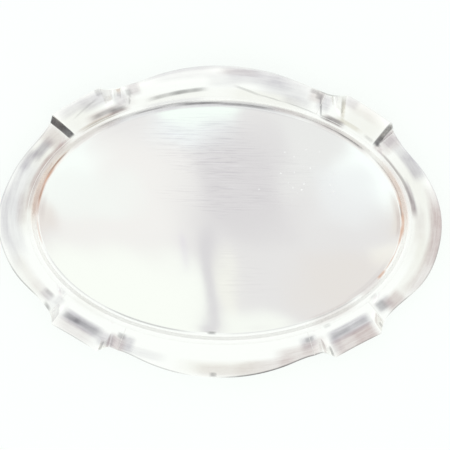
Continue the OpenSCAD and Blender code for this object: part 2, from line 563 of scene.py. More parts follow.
@dataclass
class PatinaAndPaintedLight:
    """All the marks of wear and tarnish on the salver, and the painted reflections and painted
    shade laid as marks with them.

    Attributes:
        form: The salver's form, which gives the rim's edge.
        marks: The marks.
        streak: How much fine streaks along the border thin the marks out.
        streaks_apart: Distances in millimetres between the streaks of each set.
        streak_slant: Degrees along the border in which a streak may drift to the next one's place.
        streak_wander: How far a streak wanders, in radians of the turn from one to the next.
        seed: Fixes the streaks.
    """

    form: SalverForm
    marks: list[Mark] = field(default_factory=list)
    streak: float = 0.3
    streaks_apart: tuple[float, ...] = (1.3, 1.9, 2.7, 3.9)
    streak_slant: float = 14.0
    streak_wander: float = 0.8
    seed: int = 11

    def _streaks(self, t: np.ndarray, out: np.ndarray) -> np.ndarray:
        """Fine streaks along the border.

        Args:
            t: Well angles in degrees.
            out: Distances outside the well's edge in millimetres.

        Returns:
            Numbers from 0 to 1.
        """
        rng = np.random.default_rng(self.seed)
        total = np.zeros_like(out, dtype=float)
        # Each set slants, starts and waves its own way, 9 to 22 waves to a turn.
        for gap in self.streaks_apart:
            along = rng.uniform(-1, 1) * 2 * math.pi / self.streak_slant
            turn = rng.uniform(0, 2 * math.pi)
            wander = self.streak_wander * np.sin(np.radians(t * rng.integers(9, 23)) + turn)
            total += np.sin(out * 2 * math.pi / gap + t * along + wander + turn)
        return 0.5 + total / (2 * len(self.streaks_apart))

    def layers(self, t: np.ndarray, out: np.ndarray) -> dict[str, np.ndarray]:
        """Density of each stain at places on the salver.

        Args:
            t: Well angles in degrees.
            out: Distances outside the well's edge in millimetres.

        Returns:
            An array for each stain's layer, each number from 0 to 1.
        """
        inside = self.form.reach(t) - out
        found = {stain.value: np.zeros_like(out, dtype=float) for stain in Stain}
        for mark in self.marks:
            layer = found[mark.stain.value]
            layer += (1 - layer) * mark.at(t, out, inside)
        thin = 1 - self.streak * self._streaks(t, out)
        for stain in (Stain.BRONZE, Stain.BLOOM, Stain.COPPER):
            found[stain.value] *= thin
        return found


# ---- Finishes ----


@dataclass(frozen=True)
class SilverFinish:
    """Polished silver plate with the tarnish, wear, painted reflections and painted shade that its
    marks give it.

    Attributes:
        name: The material's name.
        silver: Colour of clean metal.
        straw: Colour of the first, yellowish film of tarnish, also used as painted reflection: the
            cream tones that the lobes and tabs mirror.
        haze_painted_reflection_and_shade: Colour of the cloudy grey film that follows it, also used
            as painted reflection of the room's grey parts; dark scratches use it as painted shade.
        bronze: Colour where the plate has worn thin over the copper under it, also used as painted
            reflection: the brown band beside the collar's crest and pinkish-brown tones on the
            lobes.
        copper: Colour of the copper where the plate is worn through along the seam.
        tarnish: Colour of dark tarnish in folds and along seams, also used as painted shade in
            creases and along the rim's edge and as painted dark reflections on steep pleat facets.
        pale: Colour of bright scratches and of specks.
        roughness: Roughness of clean metal; tarnish adds to it.
        uneven: How much the roughness varies from patch to patch.
        planish: Depth of the planishing unevenness in millimetres.
        cloud: Size of the cloudy patches in millimetres.
        scratch_show: How much the scratches darken the metal where it is scored.
        speck_gap: Distance between specks in millimetres.
        speck_scatter: How much roughness a speck adds.
    """

    name: str
    silver: str = "FDFDFB"
    straw: str = "A89868"
    haze_painted_reflection_and_shade: str = "7C7089"
    bronze: str = "9E7A79"
    copper: str = "CC8C60"
    tarnish: str = "39363D"
    pale: str = "FFFFFF"
    roughness: float = 0.09
    uneven: float = 0.05
    planish: float = 0.015
    cloud: float = 9.0
    scratch_show: float = 0.3
    speck_gap: float = 5.0
    speck_scatter: float = 0.5

    def _layer(
        self, tree: bpy.types.NodeTree, stain: Stain, density: bpy.types.NodeSocket
    ) -> bpy.types.NodeSocket:
        """Read a stain's layer off the mesh and make it patchy.

        Args:
            tree: The material's node tree.
            stain: The stain.
            density: Number that varies from place to place.

        Returns:
            The layer's density, from 0 to 1.
        """
        layer = add_node(tree, "ShaderNodeAttribute", output="Fac", attribute_name=stain.value)
        return add_node(
            tree, "ShaderNodeMath", {0: layer, 1: density}, operation="MULTIPLY", use_clamp=True
        )

    @staticmethod
    def _over(
        tree: bpy.types.NodeTree,
        look: tuple[bpy.types.NodeSocket | tuple, bpy.types.NodeSocket | float],
        layer: bpy.types.NodeSocket,
        hex_colour: str,
        added: float = 0.0,
    ) -> tuple[bpy.types.NodeSocket, bpy.types.NodeSocket]:
        """Lay a stain over the metal.

        Args:
            tree: The material's node tree.
            look: Colour and roughness of the metal under it.
            layer: The stain's density.
            hex_colour: The stain's colour.
            added: How much roughness it adds.

        Returns:
            Colour and roughness with the stain over them.
        """
        shade = add_node(
            tree,
            "ShaderNodeMix",
            {SHARE: layer, UNDER: look[0], OVER: linear(hex_colour)},
            MIXED,
            data_type="RGBA",
        )
        rough = add_node(
            tree, "ShaderNodeMath", {0: layer, 1: added, 2: look[1]}, operation="MULTIPLY_ADD"
        )
        return shade, rough

    def material(self) -> bpy.types.Material:
        """Build the finish's node material.

        Returns:
            The material.
        """
        made, tree, place = start_material(self.name)
        # Silver never tarnishes evenly: every film of it is cloudy, and the painted reflections and
        # shade in the same layers are cloudy with it.
        cloud = add_node(
            tree,
            "ShaderNodeTexNoise",
            {"Vector": place, "Scale": 1 / (self.cloud * MM), "Detail": 6.0, "Roughness": 0.65},
        )
        density = add_node(
            tree,
            "ShaderNodeMapRange",
            {"Value": cloud, "From Min": 0.3, "From Max": 0.7, "To Min": 0.85, "To Max": 1.15},
        )
        look = linear(self.silver), self.roughness
        # Films of tarnish in the order that they form, each with the roughness it adds; the same
        # layers carry painted reflections and painted shade.
        for stain, colour, added in (
            # Yellowish tarnish, also painted reflection.
            (Stain.STRAW, self.straw, 0.0),
            # Grey tarnish film, mostly painted reflection.
            (Stain.BLOOM, self.haze_painted_reflection_and_shade, 0.1),
            # Brownish wear, also painted reflection.
            (Stain.BRONZE, self.bronze, 0.08),
            (Stain.COPPER, self.copper, 0.15),
            # Dark tarnish together with painted shade and painted dark reflections.
            (Stain.GRIME, self.tarnish, 0.15),
        ):
            look = self._over(tree, look, self._layer(tree, stain, density), colour, added)
        # Scratches from cleaning run along the length. Real ones are hairlines; these are 20 to
        # 34 mm long and 1.2 to 1.7 mm apart, so that they show. Dark ones are deep and in shade,
        # light ones catch the light.
        for (length, gap), turn, colour, depth in (
            ((34, 1.2), 1.5, self.haze_painted_reflection_and_shade, 1.0),
            ((20, 1.7), -4.0, self.haze_painted_reflection_and_shade, 0.7),
            ((28, 1.4), 5.0, self.pale, 1.5),
        ):
            drawn_out = add_node(
                tree,
                "ShaderNodeMapping",
                {
                    "Vector": place,
                    "Rotation": (0.0, 0.0, math.radians(turn)),
                    "Scale": (1 / (length * MM), 1 / (gap * MM), 1.0),
                },
            )
            scratches = add_node(
                tree,
                "ShaderNodeTexNoise",
                {"Vector": drawn_out, "Scale": 1.0, "Detail": 3.0, "Roughness": 0.6},
            )
            show = depth * self.scratch_show
            grooves = add_node(
                tree,
                "ShaderNodeMapRange",
                {"Value": scratches, "From Min": 0.52, "From Max": 0.75, "To Max": show},
            )
            look = self._over(tree, look, self._layer(tree, Stain.SCORED, grooves), colour)
        # Specks where the plate is pitted, each about 0.8 mm across, which scatter the light.
        pits = add_node(
            tree, "ShaderNodeTexVoronoi", {"Vector": place, "Scale": 1 / (self.speck_gap * MM)}
        )
        dots = add_node(
            tree,
            "ShaderNodeMapRange",
            {"Value": pits, "From Min": 0.08, "From Max": 0.16, "To Min": 1.0, "To Max": 0.0},
        )
        specks = self._layer(tree, Stain.SPECKS, dots)
        shade, rough = self._over(tree, look, specks, self.pale, self.speck_scatter)
        rough = add_node(
            tree, "ShaderNodeMath", {0: cloud, 1: self.uneven, 2: rough}, operation="MULTIPLY_ADD"
        )
        wavy = add_node(
            tree,
            "ShaderNodeBump",
            {"Height": cloud, "Strength": 1.0, "Distance": self.planish * MM},
        )
        end_metal(tree, shade, rough, wavy)
        return made


@dataclass(frozen=True)
class SolderFinish:
    """Soft silver solder, cooled in a joint and wiped: uneven in colour and a little dull.

    Attributes:
        name: The material's name.
        light: Colour of its brighter patches.
        dark: Colour of its darker patches.
        roughness: Lowest roughness.
        dulling: How much rougher the dark patches are.
        relief: Height of the lumps in millimetres.
        grain: Size of the patches in millimetres.
    """

    name: str
    light: str
    dark: str
    roughness: float
    relief: float
    dulling: float = 0.15
    grain: float = 2.5

    def material(self) -> bpy.types.Material:
        """Build the finish's node material.

        Returns:
            The material.
        """
        made, tree, place = start_material(self.name)
        patches = add_node(
            tree,
            "ShaderNodeTexNoise",
            {"Vector": place, "Scale": 1 / (self.grain * MM), "Detail": 4.0, "Roughness": 0.6},
        )
        share = add_node(
            tree, "ShaderNodeMapRange", {"Value": patches, "From Min": 0.35, "From Max": 0.65}
        )
        shade = add_node(
            tree,
            "ShaderNodeMix",
            {SHARE: share, UNDER: linear(self.dark), OVER: linear(self.light)},
            MIXED,
            data_type="RGBA",
        )
        dullest = self.roughness + self.dulling
        rough = add_node(
            tree,
            "ShaderNodeMapRange",
            {"Value": share, "To Min": dullest, "To Max": self.roughness},
        )
        lumps = add_node(
            tree,
            "ShaderNodeBump",
            {"Height": patches, "Strength": 0.6, "Distance": self.relief * MM},
        )
        end_metal(tree, shade, rough, lumps)
        return made


# ---- Meshes ----


@dataclass(frozen=True)
class Shape:
    """A mesh laid out on the salver.

    Attributes:
        points: Points by X, Y, Z, in millimetres.
        faces: Point numbers of each face, wound so that the faces look outward.
        angles: Well angle of every point.
        outs: Distance of every point outside the well's edge.
    """

    points: np.ndarray
    faces: list[tuple[int, ...]]
    angles: np.ndarray
    outs: np.ndarray

    @classmethod
    def loft(
        cls, points: np.ndarray, angles: np.ndarray, outs: np.ndarray, ring: bool = False
    ) -> "Shape":
        """Join closed sections into a solid.

        Args:
            points: Array of sections by points by X, Y, Z, in millimetres.
            angles: Well angle of every point, with the same first two sizes.
            outs: Distance of every point outside the well's edge, likewise.
            ring: Whether the last section joins the first; otherwise both ends are capped.

        Returns:
            The solid.
        """
        count, size = points.shape[:2]
        faces = []
        for i in range(count if ring else count - 1):
            near, far = i * size, (i + 1) % count * size
            for j in range(size):
                k = (j + 1) % size
                faces.append((near + j, far + j, far + k, near + k))
        if not ring:
            faces.append(tuple(range(size)))
            faces.append(tuple(range(count * size - 1, (count - 1) * size - 1, -1)))
        return cls(points.reshape(-1, 3), faces, angles.ravel(), outs.ravel())

    def beside(self, other: "Shape") -> "Shape":
        """Put this shape and another into one mesh.

        Args:
            other: The other shape.

        Returns:
            Both, not joined to each other.
        """
        start = len(self.points)
        return Shape(
            np.concatenate([self.points, other.points]),
            self.faces + [tuple(n + start for n in face) for face in other.faces],
            np.concatenate([self.angles, other.angles]),
            np.concatenate([self.outs, other.outs]),
        )


@dataclass(frozen=True)
class Workshop:
    """What every piece of the salver is made with.

    Attributes:
        form: The salver's form.
        patina_and_painted_light: Its marks of wear and tarnish, with the painted reflections and
            painted shade laid as marks.
        sharp: Degrees between two faces from which the edge between them looks sharp.
        ring_step: Degrees between the sections of a ring.
    """

    form: SalverForm
    patina_and_painted_light: PatinaAndPaintedLight
    sharp: float = 38.0
    ring_step: float = 0.5

    def make(
        self, name: str, shape: Shape, material: bpy.types.Material, node: str, slot: str
    ) -> None:
        """Make one piece that stands for a CAD node.

        Args:
            name: The piece's name.
            shape: Its mesh.
            material: The piece's finish.
            node: The CAD node that it stands for.
            slot: The record's material slot; not used.
        """
        mesh = bpy.data.meshes.new(name)
        mesh.from_pydata((shape.points * MM).tolist(), [], shape.faces)
        mesh.validate()
        for layer, values in self.patina_and_painted_light.layers(shape.angles, shape.outs).items():
            kept = mesh.attributes.new(layer, "FLOAT", "POINT")
            kept.data.foreach_set("value", values.astype(np.float32))
        mesh.shade_smooth()
        mesh.set_sharp_from_angle(angle=math.radians(self.sharp))
        mesh.materials.append(material)
        piece = bpy.data.objects.new(name, mesh)
        bpy.context.scene.collection.objects.link(piece)
        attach(piece, "root")
        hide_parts(node)
        count, (low, high) = len(mesh.polygons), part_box(node)
        log.info("%s stands for %s, %d faces, box %s to %s", name, node, count, low, high)

    def ring(self, outs: np.ndarray, heights: np.ndarray) -> Shape:
        """A solid ring round the well.

        Args:
            outs: Distances of its section's points outside the well's edge.
            heights: Their heights, or a row of heights for each section.

        Returns:
            The ring.
        """
        return Shape.loft(*self.form.sections(self.ring_angles()[:, None], outs, heights), True)

    def ring_angles(self) -> np.ndarray:
        """Well angles of a ring's sections."""
        return np.arange(0, 360, self.ring_step)


@dataclass
class Well:
    """The flat sheet that the salver stands on, and the worn fillet round its edge."""

    shop: Workshop
    hand: Hand
    rings: int = 90
    crowding: float = 1.5  # how much closer together the rings are towards the edge
    step: float = 1.0
    still_edge: float = 0.08  # share of the radius over which the unevenness dies out
    fillet_spread: float = 0.9
    fillet_climb: float = 1.36
    fillet_thickness: float = 0.2
    fillet_fullness: float = 0.75

    def _sheet(self) -> Shape:
        """Lay out the sheet as rings round its middle.

        Returns:
            The sheet.
        """
        form = self.shop.form
        t = np.arange(0, 360, self.step)
        part = 1 - (1 - np.linspace(0, 1, self.rings + 1)[1:]) ** self.crowding
        turn, share = np.meshgrid(np.radians(t), part, indexing="ij")
        x, y = form.well_a * share * np.cos(turn), form.well_b * share * np.sin(turn)
        steep = np.hypot(x / form.well_a**2, y / form.well_b**2) / share
        out = (share - 1) / steep
        top = np.stack([x, y, np.full_like(x, form.sheet)], -1)
        top[..., 2] += self.hand.at(top) * smooth((1 - share) / self.still_edge)
        count = len(part)
        upper = top.reshape(-1, 3)
        lower = np.stack([x[:, -1], y[:, -1], np.zeros(len(t))], -1)
        middle = np.array([[0.0, 0.0, form.sheet + float(self.hand.at(np.zeros(3)))], [0, 0, 0]])
        base, centre = len(upper), len(upper) + len(lower)
        faces: list[tuple[int, ...]] = []
        for i in range(len(t)):
            k = (i + 1) % len(t)
            faces.append((centre, i * count, k * count))
            for j in range(count - 1):
                a, b = i * count + j, k * count + j
                faces.append((a, a + 1, b + 1, b))
            faces.append((i * count + count - 1, base + i, base + k, k * count + count - 1))
            faces.append((centre + 1, base + k, base + i))
        return Shape(
            np.concatenate([upper, lower, middle]),
            faces,
            np.concatenate([np.degrees(turn).ravel(), t, [0.0, 0.0]]),
            np.concatenate([out.ravel(), np.zeros(len(t)), [-form.well_b] * 2]),
        )

    def _fillet(self) -> Shape:
        """Lay out the fillet, from the sheet up onto the foot of the collar.

        Returns:
            The fillet.
        """
        form, lift, spread = self.shop.form, self.fillet_thickness, self.fillet_spread
        near, far = self.fillet_climb / 2, self.fillet_climb
        near_height, far_height = (float(form.collar_height(np.array(v))) for v in (near, far))
        section = (
            (-spread, form.sheet),
            (-spread / 2, form.sheet + lift * self.fillet_fullness),
            (0.0, form.sheet + lift),
            (near, near_height + lift),
            (far, far_height),
            (near, near_height),
            (0.0, form.sheet),
        )
        return self.shop.ring(*np.array(section).T)

    def build(self, silver: SilverFinish, fillet: SilverFinish) -> None:
        """Make the sheet and the fillet.

        Args:
            silver: Finish of the sheet.
            fillet: Finish of the fillet.
        """
        make = self.shop.make
        make("WellSheet", self._sheet(), silver.material(), "well_plate", "well_silver")
        make(
            "WellFillet",
            self._fillet(),
            fillet.material(),
            "well_seam_solder",
            "worn_copper_solder",
        )


@dataclass
class Collar:
    """The stepped collar between the well and the border, and the solder outside it."""

    shop: Workshop
    upper_steps: int = 22
    under_steps: int = 10

    def _step(self) -> Shape:
        """Lay out the collar, up over its upper face and back along its underside.

        Returns:
            The collar.
        """
        form = self.shop.form
        up = np.linspace(0, form.step_width, self.upper_steps + 1)
        down = np.linspace(form.step_width, 0, self.under_steps + 1)
        heights = [form.collar_height(up), form.collar_height(down) - form.sheet]
        return self.shop.ring(np.concatenate([up, down]), np.concatenate(heights))

    def _solder(self) -> Shape:
        """Lay out the strip of solder between the collar and the border.

        Returns:
            The strip, as a ring.
        """
        form = self.shop.form
        inner, outer, high = form.step_width, form.step_width + form.solder_gap, form.step_height
        t = self.shop.ring_angles()
        outer_high = form.border_height(t, np.zeros_like(t))
        heights = (high, outer_high, outer_high - form.sheet, high - form.sheet)
        heights = np.stack(np.broadcast_arrays(*heights), -1)
        return self.shop.ring(np.array([inner, outer, outer, inner]), heights)

    def build(self, silver: SilverFinish, solder: SolderFinish) -> None:
        """Make the collar and the ring of solder outside it.

        Args:
            silver: Finish of the collar.
            solder: Finish of the ring.
        """
        make = self.shop.make
        make("StepCollar", self._step(), silver.material(), "step_collar", "collar_silver")
        make("RimSolder", self._solder(), solder.material(), "rim_seam_solder", "solder")


@dataclass
class Border:
    """The flared border: four lobes, four corner tabs, the wires on their edges and the joints."""

    shop: Workshop
    hand: Hand
    across_steps: int = 38
    under_steps: int = 12
    wire_steps: int = 10
    still_edge: float = 0.15  # share of the width over which the unevenness dies out

    def _sheet(self, t: np.ndarray) -> Sections:
        """Lay out border sheet, out over its upper face and back along its underside.

        Args:
            t: Well angles of its sections.

        Returns:
            The sections.
        """
        form = self.shop.form
        upper, lower = self.across_steps + 1, self.under_steps + 1
        part = np.concatenate([np.linspace(0, 1, upper), np.linspace(1, 0, lower)])
        under = np.concatenate([np.zeros(upper), np.ones(lower)])
        turn, share = np.meshgrid(t, part, indexing="ij")
        out, height = form.border_out(turn, share), form.border_height(turn, share)
        fade = smooth(share / self.still_edge) * smooth((1 - share) / self.still_edge)
        waves = self.hand.at(form.place(turn, out, height)) * fade
        return form.sections(turn, out, height + waves - form.sheet * under)

    def _wire(self, t: np.ndarray) -> Sections:
        """Lay out half-round wire along the edge.

        Args:
            t: Well angles of its sections.

        Returns:
            The sections.
        """
        form = self.shop.form
        bend = np.radians(np.linspace(0, 180, self.wire_steps + 1))
        turn, round_it = np.meshgrid(t, bend, indexing="ij")
        edge, top = form.reach(turn), form.border_height(turn, np.ones_like(turn))
        out = edge - form.wire_width * (1 - np.sin(round_it))
        return form.sections(turn, out, top - form.sheet / 2 * (1 - np.cos(round_it)))

    def _joint(self, middle: float) -> Shape:
        """Lay out the solder of a radial joint, the sheet's section with the wire's outside.

        Args:
            middle: Well angle of the joint.

        Returns:
            The solder.
        """
        half, edge = self.shop.form.joint_half_angle, self.across_steps + 1
        t = np.array([middle - half, middle + half])
        merged = [
            np.concatenate([sheet[:, :edge], wire[:, 1:-1], sheet[:, edge:]], axis=1)
            for sheet, wire in zip(self._sheet(t), self._wire(t))
        ]
        return Shape.loft(*merged)

    def build(self, silver: SilverFinish, wire: SilverFinish, solder: SolderFinish) -> None:
        """Make every lobe, tab, wire and joint.

        Args:
            silver: Finish of the sheet.
            wire: Finish of the edge wires.
            solder: Finish of the joints.
        """
        form, make = self.shop.form, self.shop.make
        sheet_metal, wire_metal, joint_metal = silver.material(), wire.material(), solder.material()
        gap = form.joint_half_angle
        for side in Side:
            half = form.end_joint if side in (Side.RIGHT, Side.LEFT) else 90 - form.side_joint
            t = form.angles(side.value - half + gap, side.value + half - gap)
            label, node = side.name.title(), side.name.lower()
            sheet, edge = Shape.loft(*self._sheet(t)), Shape.loft(*self._wire(t))
            make(f"{label}Lobe", sheet, sheet_metal, f"border_{node}", "border_silver")
            make(f"{label}Wire", edge, wire_metal, f"wire_{node}", "wire_silver")
        for corner in Corner:
            left, front = corner.value
            ends = [form.end_joint, form.side_joint]
            if left:
                ends = [180 - end for end in ends]
            if front:
                ends = [360 - end for end in ends]
            t = form.angles(min(ends) + gap, max(ends) - gap)
            label, node = corner.name.title().replace("_", ""), corner.name.lower()
            sheet, edge = Shape.loft(*self._sheet(t)), Shape.loft(*self._wire(t))
            joints = self._joint(ends[0]).beside(self._joint(ends[1]))
            make(f"{label}Tab", sheet, sheet_metal, f"corner_{node}", "border_silver")
            make(f"{label}TabWire", edge, wire_metal, f"wire_{node}", "wire_silver")
            make(f"{label}Joints", joints, joint_metal, f"joint_solder_{node}", "solder")


# ---- Studio ----


@dataclass(frozen=True)
class SkyPatch:
    """A soft light or dark patch of the ceiling, which the salver mirrors.

    Attributes:
        right: Degrees of its middle to the right of straight up.
        back: Degrees of its middle to the back of straight up.
        half_right: Half its width in degrees.
        half_back: Half its depth in degrees.
        colour: Its colour as sRGB hex.
        light: Brightness that its colour is multiplied by.
        cover: How much of what is behind it the patch covers, up to 1.
        hard: Share of its size that is even, before it fades.
        turn: Degrees that it is turned anticlockwise, seen from above.
    """

    right: float
    back: float
    half_right: float
    half_back: float
    colour: str
    light: float
    cover: float = 1.0
    hard: float = 0.3
    turn: float = 0.0

    def over(
        self,
        tree: bpy.types.NodeTree,
        ceiling: bpy.types.NodeSocket,
        shade: bpy.types.NodeSocket,
    ) -> bpy.types.NodeSocket:
        """Lay the patch over what is behind it.

        Args:
            tree: The world's node tree.
            ceiling: Slopes to the right and to the back of the direction looked in.
            shade: Colour of what is behind the patch.

        Returns:
            The colour with the patch over it.
        """
        degrees = (self.right, self.back, self.half_right, self.half_back)
        right, back, wide, deep = (math.tan(math.radians(v)) for v in degrees)
        kind, shrink = "ShaderNodeVectorMath", (1 / wide, 1 / deep, 0.0)
        away = add_node(tree, kind, {0: ceiling, 1: (right, back, 0.0)}, operation="SUBTRACT")
        turn = (0.0, 0.0, math.radians(-self.turn))
        turned = add_node(tree, "ShaderNodeMapping", {"Vector": away, "Rotation": turn})
        scaled = add_node(tree, kind, {0: turned, 1: shrink}, operation="MULTIPLY")
        squared = add_node(tree, kind, {0: scaled, 1: scaled}, operation="MULTIPLY")
        reach = add_node(tree, kind, {0: squared}, "Value", operation="LENGTH")
        cover = add_node(
            tree,
            "ShaderNodeMapRange",
            {
                "Value": reach,
                "From Min": self.hard**2,
                "From Max": 1.0,
                "To Min": self.cover,
                "To Max": 0.0,
            },
            interpolation_type="SMOOTHSTEP",
        )
        blend = {SHARE: cover, UNDER: shade, OVER: lit(self.colour, self.light)}
        return add_node(tree, "ShaderNodeMix", blend, MIXED, data_type="RGBA")


@dataclass
class Studio:
    """Floor, soft surroundings and camera.

    Attributes:
        distance: Millimetres from the salver's middle to the camera.
        tilt: Degrees that the camera stands to the back of straight above.
        roll: Degrees that it is rolled.
        aim_right: Millimetres to the right of the middle that it looks at.
        aim_up: Millimetres up in the view from the middle that it looks at.
        view_width: Millimetres across the view at the salver.
        film_width: Width of the camera's film in millimetres.
        floor_half: Half the floor's width in metres.
        floor_steps: How many squares the floor has along each side.
        floor_drop: Metres from the salver's foot down to the floor.
        paper: Darkest and lightest colours of the floor.
        paper_cloud: Size in millimetres of the patches of its tone.
        glow: Colour and strength of the light that the floor adds, being lit from all round.
        room: Colour and brightness of the room above.
        horizon: Colour and brightness of the room low down.
        patches: The ceiling's patches, from the back one to the front one.
    """

    distance: float = 750.0
    tilt: float = 7.7
    roll: float = 1.56
    aim_right: float = 3.95
    aim_up: float = -2.66
    view_width: float = 342.1
    film_width: float = 36.0
    floor_half: float = 8.0
    floor_steps: int = 16
    floor_drop: float = 0.0003
    paper: tuple[str, str] = ("777A78", "7A7D7B")
    paper_cloud: float = 250.0
    glow: tuple[str, float] = ("FCFFFD", 0.8)
    room: tuple[str, float] = ("FCFFFD", 1.025)
    horizon: tuple[str, float] = ("FDFFFD", 1.1)
    patches: list[SkyPatch] = field(default_factory=list)

    def floor(self) -> None:
        """Make the pale floor, a matt sheet far wider than the view."""
        row = self.floor_steps + 1
        line = np.linspace(-self.floor_half, self.floor_half, row)
        x, y = np.meshgrid(line, line, indexing="ij")
        points = np.stack([x, y, np.full_like(x, -self.floor_drop)], -1).reshape(-1, 3)
        faces = [
            (i * row + j, (i + 1) * row + j, (i + 1) * row + j + 1, i * row + j + 1)
            for i in range(self.floor_steps)
            for j in range(self.floor_steps)
        ]
        mesh = bpy.data.meshes.new("Floor")
        mesh.from_pydata(points.tolist(), [], faces)
        mesh.materials.append(self._matt_paper())
        floor = bpy.data.objects.new("Floor", mesh)
        bpy.context.scene.collection.objects.link(floor)

    def _matt_paper(self) -> bpy.types.Material:
        """Build the floor's matt white paper.

        Returns:
            The material.
        """
        made, tree, place = start_material("matt_white_paper")
        # Uncoated paper has no shine, and is faintly uneven in tone.
        scale = 1 / (self.paper_cloud * MM)
        tone = add_node(
            tree, "ShaderNodeTexNoise", {"Vector": place, "Scale": scale, "Detail": 2.0}
        )
        dark, light = (linear(colour) for colour in self.paper)
        blend = {SHARE: tone, UNDER: dark, OVER: light}
        shade = add_node(tree, "ShaderNodeMix", blend, MIXED, data_type="RGBA")
        surface = add_node(
            tree,
            "ShaderNodeBsdfPrincipled",
            {
                "Base Color": shade,
                "Roughness": 0.9,
                "Emission Color": linear(self.glow[0]),
                "Emission Strength": self.glow[1],
            },
        )
        add_node(tree, "ShaderNodeOutputMaterial", {"Surface": surface})
        return made

    def surroundings(self) -> None:
        """Light the world by direction: an even pale room with soft patches laid over it."""
        world = bpy.data.worlds.new("soft_studio")
        tree = emptied_tree(world)
        toward = add_node(tree, "ShaderNodeTexCoord", output="Generated")
        height = add_node(tree, "ShaderNodeSeparateXYZ", {0: toward}, "Z")
        # The horizon's light passes into the room's from about 7 to 25 degrees up.
        low = add_node(
            tree,
            "ShaderNodeMapRange",
            {"Value": height, "From Min": 0.12, "From Max": 0.42, "To Min": 1.0, "To Max": 0.0},
            interpolation_type="SMOOTHSTEP",
        )
        blend = {SHARE: low, UNDER: lit(*self.room), OVER: lit(*self.horizon)}
        shade = add_node(tree, "ShaderNodeMix", blend, MIXED, data_type="RGBA")
        # The slopes are the direction over its height, which is kept from reaching zero.
        upward = add_node(tree, "ShaderNodeMath", {0: height, 1: 0.05}, operation="MAXIMUM")
        slopes = {0: toward, 1: upward}
        ceiling = add_node(tree, "ShaderNodeVectorMath", slopes, operation="DIVIDE")
        for patch in self.patches:
            shade = patch.over(tree, ceiling, shade)
        light = add_node(tree, "ShaderNodeBackground", {"Color": shade, "Strength": 1.0})
        add_node(tree, "ShaderNodeOutputWorld", {"Surface": light})
        bpy.context.scene.world = world

    def camera(self) -> None:
        """Place the camera above the salver, tipped a little to the back and slightly rolled."""
        tilt, roll = math.radians(self.tilt), math.radians(self.roll)
        back = Vector((0, math.sin(tilt), math.cos(tilt)))
        level = Vector((0, math.cos(tilt), -math.sin(tilt)))
        right = Vector((math.cos(roll), 0, 0)) + math.sin(roll) * level
        up = Vector((-math.sin(roll), 0, 0)) + math.cos(roll) * level
        stand = back * self.distance
        target = right * self.aim_right + up * self.aim_up
        z_axis = (stand - target).normalized()
        x_axis = up.cross(z_axis).normalized()
        y_axis = z_axis.cross(x_axis)
        turned = Matrix((x_axis, y_axis, z_axis)).transposed().to_4x4()
        lens = bpy.data.cameras.new("Camera")
        lens.sensor_width = self.film_width
        lens.lens = self.film_width * self.distance / self.view_width
        camera = bpy.data.objects.new("Camera", lens)
        camera.matrix_world = Matrix.Translation(stand * MM) @ turned
        bpy.context.scene.collection.objects.link(camera)
        bpy.context.scene.camera = camera

    def build(self) -> None:
        """Make the whole studio."""
        self.floor()
        self.surroundings()
        self.camera()
        bpy.context.scene.view_settings.view_transform = "Standard"


# ---- The salver ----

# Angle, distance out, half length in degrees, half width in millimetres, strength, then lean,
# tilt and the share that is fully dense.
# Round the seam and the collar, the copper marks are wear through the plate; the dark seam lines
# are partly tarnish, partly painted shade in the crease; the brownish and grey marks are painted
# reflections on the collar and the well's edge.
SEAM_MARKS = {
    Stain.COPPER: [
        (1, 0.9, 8, 1.5, 0.6), (10, 0.8, 8, 1.2, 0.5), (14, 2.6, 22, 3.0, 0.3),
        (160, 1.0, 18, 0.9, 0.7, -0.07), (166, 2.0, 22, 3.4, 0.34), (187, 0.3, 8, 0.7, 0.4),
        (334.7, -0.1, 3.2, 1.3, 0.75), (347, 0.0, 10, 0.5, 0.5), (341, -0.1, 5, 0.7, 0.4),
        (355.5, 0.2, 6, 1.2, 0.6),
    ],
    Stain.GRIME: [
        (8, 0.3, 4, 0.7, 0.4), (24, 1.4, 16, 0.7, 0.25), (46, 1.3, 7, 0.9, 0.6),
        (53, 1.4, 6, 0.7, 0.4), (62, 1.7, 6, 0.6, 0.25), (83, 1.3, 11, 1.3, 0.5),
        (97, 2.0, 9, 1.2, 0.5), (104, 3.4, 6, 0.8, 0.25), (113, 2.2, 7, 0.7, 0.35),
        (127, 3.4, 6, 0.5, 0.3), (152, 1.6, 8, 0.7, 0.35), (168, 0.4, 6, 0.5, 0.35),
        (183, 1.2, 5, 0.6, 0.2), (214, -0.4, 22, 0.6, 0.25), (246, -0.3, 20, 0.7, 0.4),
        (268.3, -0.9, 1.7, 1.4, 0.5), (288, -0.4, 22, 0.6, 0.22), (311, -0.2, 13, 0.7, 0.25),
    ],
    Stain.BRONZE: [
        (2, -2.0, 9, 2.2, 0.25), (20, 4.0, 18, 5, 0.18), (50, 1.5, 16, 3.4, 0.3),
        (69, 2.2, 8, 2.4, 0.24), (10, -3.0, 11, 3.8, 0.16, 0, 0, 0.0),
        (175, -3.0, 10, 3.8, 0.2, 0, 0, 0.0), (160, 1.2, 6, 1.8, 0.4), (134, 2.2, 14, 4.0, 0.3),
        (155, 6.5, 14, 4, 0.35), (172, 1.5, 10, 3.2, 0.36), (310, 1.5, 11, 5, 0.25),
        (328, 0.5, 8, 2.4, 0.3),
    ],
    Stain.SPECKS: [(4, 0.8, 10, 1.6, 1.0), (162, 1.0, 14, 1.4, 0.8)],
    Stain.BLOOM: [
        (60, 1.5, 13, 3.5, 0.15), (78, 1.4, 14, 3.6, 0.36), (98, 1.2, 16, 2.9, 0.38),
        (105, 4.3, 12, 2.8, 0.2), (118, 1.4, 16, 3.3, 0.34), (330, -2, 16, 3, 0.1),
    ],
}
